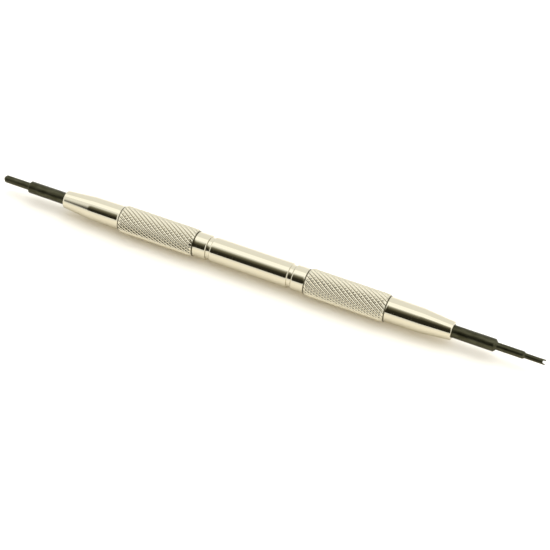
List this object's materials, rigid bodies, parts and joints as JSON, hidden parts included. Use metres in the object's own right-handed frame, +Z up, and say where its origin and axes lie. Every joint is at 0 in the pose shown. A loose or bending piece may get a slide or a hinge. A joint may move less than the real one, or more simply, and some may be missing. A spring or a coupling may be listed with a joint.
{
  "type": "double-ended spring-bar tool",
  "caption": "Slim watchmaker's spring-bar tool: knurled round plated handle with a push pin in one end and a notched fork in the other, each held by a collet under a screw cap.",
  "frame": {"origin": "middle of the centre barrel, on the tool's axis", "axes": "+X along the tool's axis towards the fork end, +Z up as the tool lies, +Y across it"},
  "size_m": [0.137, 0.0066, 0.0066],
  "materials": {
    "plated_handle": "polished",
    "collet_steel": "turned",
    "blackened_steel": "black oxide"
  },
  "bodies": {
    "barrel": {"centre_barrel": "plated_handle"},
    "pin_collet": {"pin_collet": "collet_steel"},
    "pin_cap": {"pin_cap": "plated_handle"},
    "pin_tip": {"pin_tip": "blackened_steel"},
    "fork_collet": {"fork_collet": "collet_steel"},
    "fork_cap": {"fork_cap": "plated_handle"},
    "fork_tip": {"fork_tip": "blackened_steel"}
  },
  "joints": [
    {"name": "pin_cap_feed", "type": "slide", "parent": "barrel", "child": "pin_collet", "axis": [-1, 0, 0], "range_m": [0, 0.006]},
    {"name": "pin_cap_turn", "type": "hinge", "parent": "pin_collet", "child": "pin_cap", "pos_m": [-0.02397, 0, 0], "axis": [-1, 0, 0], "range_deg": [0, 4320]},
    {"name": "pin_tip_pull", "type": "slide", "parent": "pin_collet", "child": "pin_tip", "axis": [-1, 0, 0], "range_m": [0, 0.013]},
    {"name": "fork_cap_feed", "type": "slide", "parent": "barrel", "child": "fork_collet", "axis": [1, 0, 0], "range_m": [0, 0.006]},
    {"name": "fork_cap_turn", "type": "hinge", "parent": "fork_collet", "child": "fork_cap", "pos_m": [0.02397, 0, 0], "axis": [1, 0, 0], "range_deg": [0, 4320]},
    {"name": "fork_tip_pull", "type": "slide", "parent": "fork_collet", "child": "fork_tip", "axis": [1, 0, 0], "range_m": [0, 0.013]}
  ],
  "couplings": [
    {"joint": "pin_cap_turn", "follows": "pin_cap_feed", "rad_per_m": 12566},
    {"joint": "fork_cap_turn", "follows": "fork_cap_feed", "rad_per_m": 12566}
  ]
}
